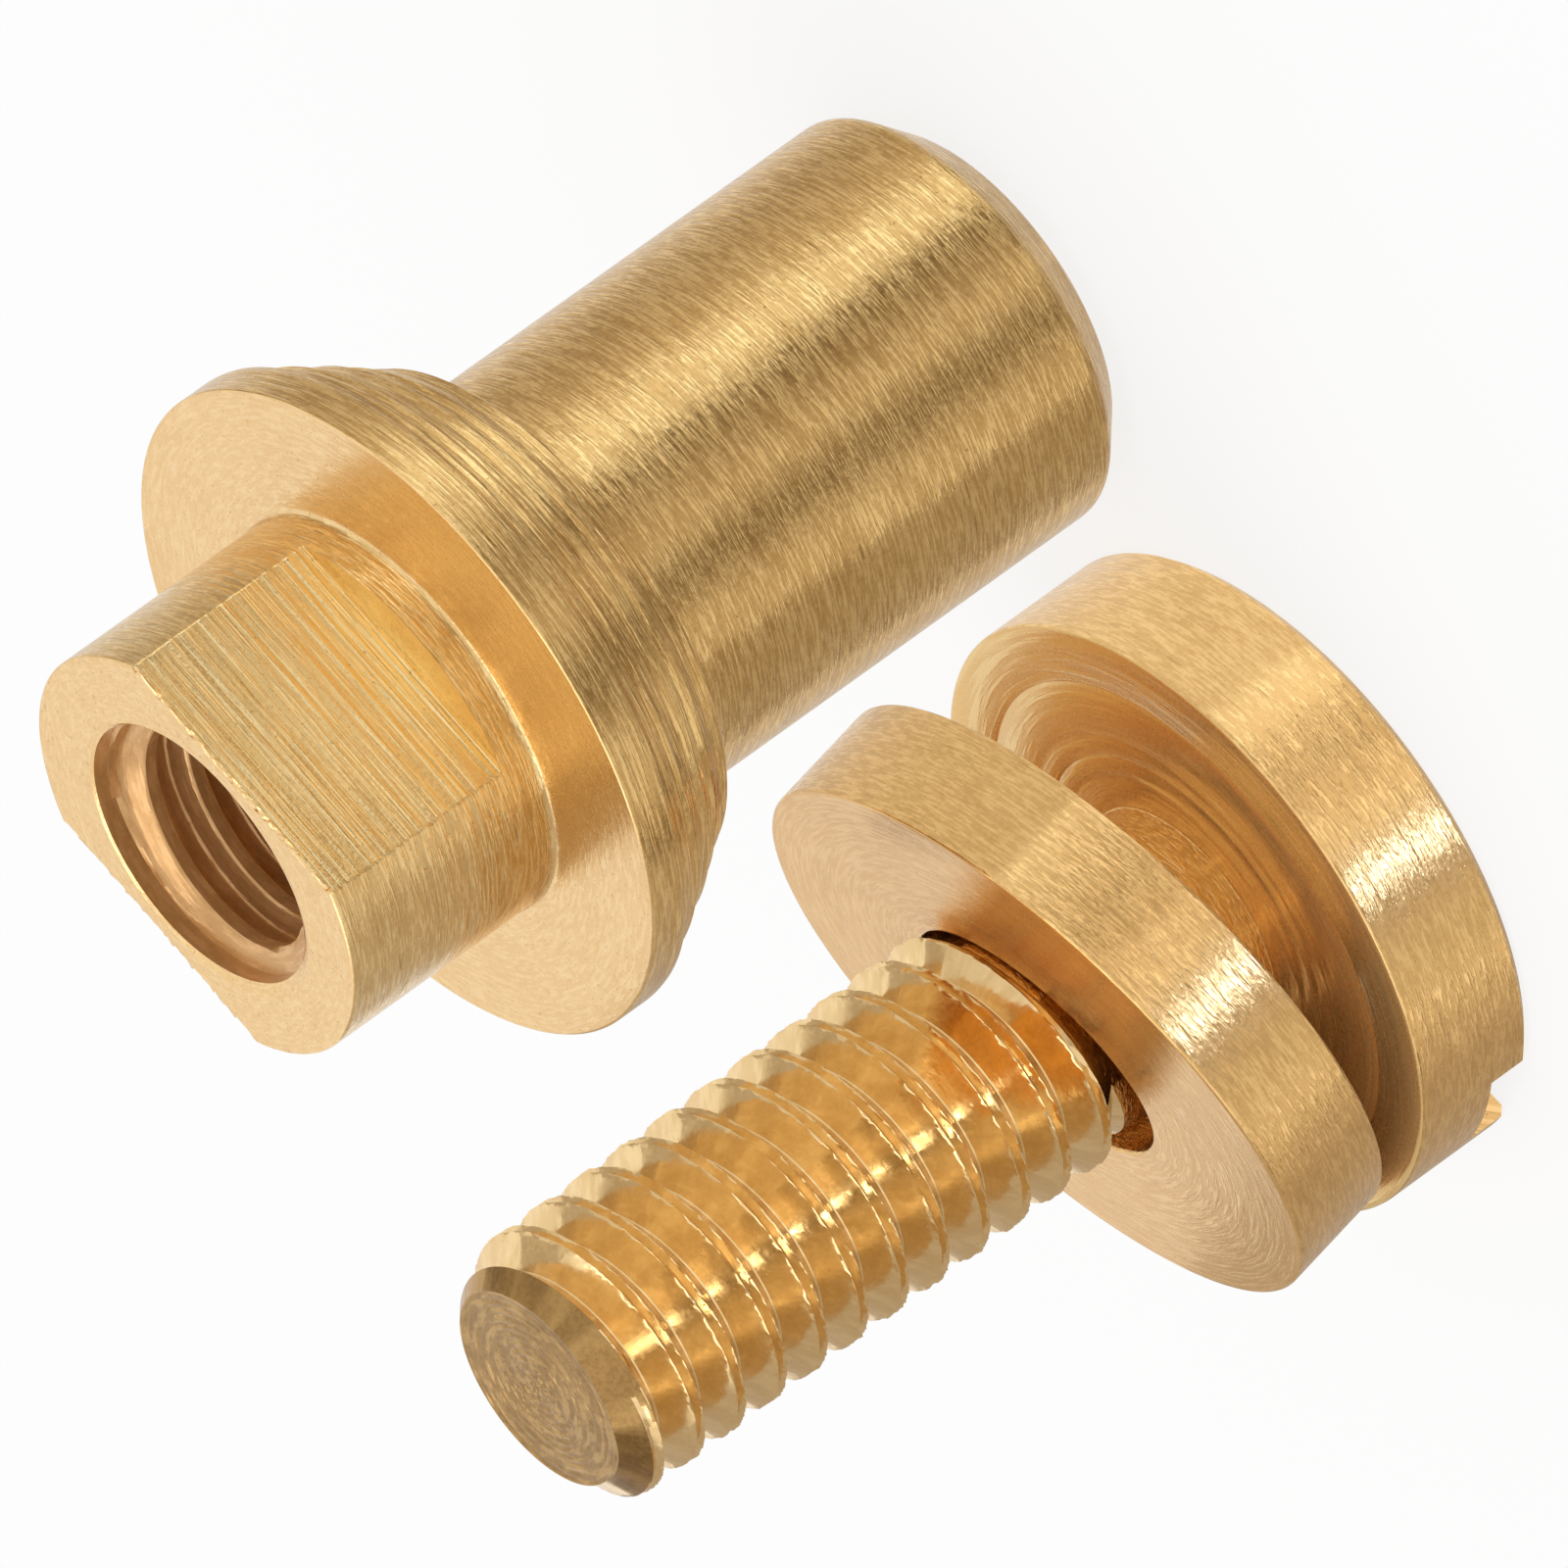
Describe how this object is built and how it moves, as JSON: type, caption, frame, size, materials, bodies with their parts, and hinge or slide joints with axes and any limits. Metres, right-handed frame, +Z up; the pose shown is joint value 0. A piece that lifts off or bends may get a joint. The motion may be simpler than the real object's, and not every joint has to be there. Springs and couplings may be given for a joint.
{
  "type": "saxophone neck screw",
  "caption": "Brass neck screw taken apart: a slotted screw with a thick loose washer on its neck, standing beside the flanged, tapped post with milled flats that it screws into.",
  "frame": {"origin": "on the floor, under the middle of the box around all the pieces", "axes": "+X from the screw towards the post, +Z up along both axes, towards the screw's tip and the mouth of the post's bore"},
  "size_m": [0.0186, 0.0102, 0.0144],
  "materials": {
    "post_brass": "bare turned brass with fine tool marks and milled flats",
    "screw_brass": "bare turned and threaded brass",
    "washer_brass": "bare faced brass with concentric tool marks"
  },
  "bodies": {
    "root": {"threaded_post": "post_brass", "slotted_screw": "screw_brass", "washer": "washer_brass"}
  },
  "joints": []
}
